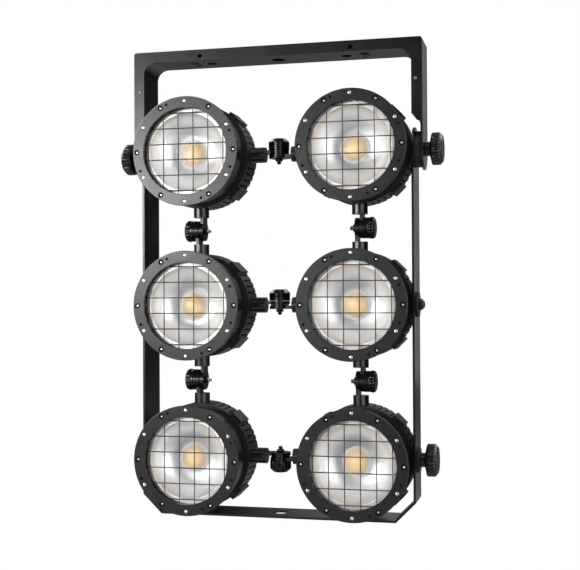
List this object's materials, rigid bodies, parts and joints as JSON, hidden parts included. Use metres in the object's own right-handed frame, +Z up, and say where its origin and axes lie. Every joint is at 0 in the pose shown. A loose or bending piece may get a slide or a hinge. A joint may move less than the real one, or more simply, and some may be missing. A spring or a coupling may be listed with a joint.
{
  "type": "strobe light",
  "caption": "Stage strobe light: grilled round lamps linked by lugs and knobs in a bent flat-bar frame, hung from a U-shaped yoke with fluted clamp knobs.",
  "frame": {"origin": "centre of the yoke's middle clamp hole, on the top face of the yoke", "axes": "+Z up, +X to the right as seen from the front, +Y away from the viewer; the lamps face -Y"},
  "size_m": [0.614, 0.1705, 0.8705],
  "materials": {
    "frame_paint": "satin black powder coat",
    "lamp_paint": "satin black powder coat",
    "grille_wire": "satin",
    "reflector_metal": "satin spun",
    "clear_glass": "clear",
    "led_yellow": "phosphor yellow",
    "bright_steel": "stainless",
    "black_steel": "satin black",
    "knob_plastic": "gloss black",
    "spacer_plastic": "black"
  },
  "bodies": {
    "yoke": {"yoke_plate": "frame_paint", "yoke_channel": "frame_paint", "yoke_screws": "bright_steel"},
    "frame": {"frame_strap": "frame_paint", "pivot_spacers": "spacer_plastic", "strap_washers": "black_steel", "strap_bolts": "bright_steel"},
    "yoke_knob_left": {"yoke_knob_left": "knob_plastic"},
    "yoke_knob_right": {"yoke_knob_right": "knob_plastic"},
    "row_knob": {"row_knob": "knob_plastic"},
    "row_top": {"bezel_top_left": "lamp_paint", "grille_top_left": "grille_wire", "reflector_top_left": "reflector_metal", "housing_top_left": "lamp_paint", "heat_sink_top_left": "lamp_paint", "bezel_top_right": "lamp_paint", "grille_top_right": "grille_wire", "reflector_top_right": "reflector_metal", "housing_top_right": "lamp_paint", "heat_sink_top_right": "lamp_paint", "front_glass_top": "clear_glass", "leds_top": "led_yellow", "lugs_top": "lamp_paint", "fittings_top": "bright_steel"},
    "link_knob_top": {"link_knob_top": "knob_plastic"},
    "link_knob_below_top_left": {"link_knob_below_top_left": "knob_plastic"},
    "link_knob_below_top_right": {"link_knob_below_top_right": "knob_plastic"},
    "row_middle": {"bezel_middle_left": "lamp_paint", "grille_middle_left": "grille_wire", "reflector_middle_left": "reflector_metal", "housing_middle_left": "lamp_paint", "heat_sink_middle_left": "lamp_paint", "bezel_middle_right": "lamp_paint", "grille_middle_right": "grille_wire", "reflector_middle_right": "reflector_metal", "housing_middle_right": "lamp_paint", "heat_sink_middle_right": "lamp_paint", "front_glass_middle": "clear_glass", "leds_middle": "led_yellow", "lugs_middle": "lamp_paint", "fittings_middle": "bright_steel"},
    "link_knob_middle": {"link_knob_middle": "knob_plastic"},
    "link_knob_below_middle_left": {"link_knob_below_middle_left": "knob_plastic"},
    "link_knob_below_middle_right": {"link_knob_below_middle_right": "knob_plastic"},
    "row_bottom": {"bezel_bottom_left": "lamp_paint", "grille_bottom_left": "grille_wire", "reflector_bottom_left": "reflector_metal", "housing_bottom_left": "lamp_paint", "heat_sink_bottom_left": "lamp_paint", "bezel_bottom_right": "lamp_paint", "grille_bottom_right": "grille_wire", "reflector_bottom_right": "reflector_metal", "housing_bottom_right": "lamp_paint", "heat_sink_bottom_right": "lamp_paint", "front_glass_bottom": "clear_glass", "leds_bottom": "led_yellow", "lugs_bottom": "lamp_paint", "fittings_bottom": "bright_steel"},
    "link_knob_bottom": {"link_knob_bottom": "knob_plastic"}
  },
  "joints": [
    {"name": "yoke_pivot", "type": "hinge", "parent": "yoke", "child": "frame", "pos_m": [0, 0, -0.198], "axis": [1, 0, 0], "range_deg": [-90, 90]},
    {"name": "yoke_knob_left_turn", "type": "hinge", "parent": "frame", "child": "yoke_knob_left", "pos_m": [-0.28, 0, -0.198], "axis": [1, 0, 0], "range_deg": [0, 360]},
    {"name": "yoke_knob_right_turn", "type": "hinge", "parent": "frame", "child": "yoke_knob_right", "pos_m": [0.28, 0, -0.198], "axis": [-1, 0, 0], "range_deg": [0, 360]},
    {"name": "row_knob_turn", "type": "hinge", "parent": "frame", "child": "row_knob", "pos_m": [0.28, 0, -0.762], "axis": [-1, 0, 0], "range_deg": [0, 360]},
    {"name": "row_top_tilt", "type": "hinge", "parent": "frame", "child": "row_top", "pos_m": [0, 0, -0.198], "axis": [1, 0, 0], "range_deg": [-8, 8]},
    {"name": "link_knob_top_turn", "type": "hinge", "parent": "row_top", "child": "link_knob_top", "pos_m": [0, 0, -0.198], "axis": [0, 0, -1], "range_deg": [0, 360]},
    {"name": "link_knob_below_top_left_turn", "type": "hinge", "parent": "row_top", "child": "link_knob_below_top_left", "pos_m": [-0.153, 0, -0.339], "axis": [1, 0, 0], "range_deg": [0, 360]},
    {"name": "link_knob_below_top_right_turn", "type": "hinge", "parent": "row_top", "child": "link_knob_below_top_right", "pos_m": [0.153, 0, -0.339], "axis": [-1, 0, 0], "range_deg": [0, 360]},
    {"name": "row_middle_tilt", "type": "hinge", "parent": "frame", "child": "row_middle", "pos_m": [0, 0, -0.48], "axis": [1, 0, 0], "range_deg": [-8, 8]},
    {"name": "link_knob_middle_turn", "type": "hinge", "parent": "row_middle", "child": "link_knob_middle", "pos_m": [0, 0, -0.48], "axis": [0, 0, -1], "range_deg": [0, 360]},
    {"name": "link_knob_below_middle_left_turn", "type": "hinge", "parent": "row_middle", "child": "link_knob_below_middle_left", "pos_m": [-0.153, 0, -0.621], "axis": [1, 0, 0], "range_deg": [0, 360]},
    {"name": "link_knob_below_middle_right_turn", "type": "hinge", "parent": "row_middle", "child": "link_knob_below_middle_right", "pos_m": [0.153, 0, -0.621], "axis": [-1, 0, 0], "range_deg": [0, 360]},
    {"name": "row_bottom_tilt", "type": "hinge", "parent": "frame", "child": "row_bottom", "pos_m": [0, 0, -0.762], "axis": [1, 0, 0], "range_deg": [-8, 8]},
    {"name": "link_knob_bottom_turn", "type": "hinge", "parent": "row_bottom", "child": "link_knob_bottom", "pos_m": [0, 0, -0.762], "axis": [0, 0, 1], "range_deg": [0, 360]}
  ],
  "couplings": [
    {"joint": "row_middle_tilt", "follows": "row_top_tilt", "ratio": -1},
    {"joint": "row_bottom_tilt", "follows": "row_top_tilt", "ratio": 1}
  ]
}
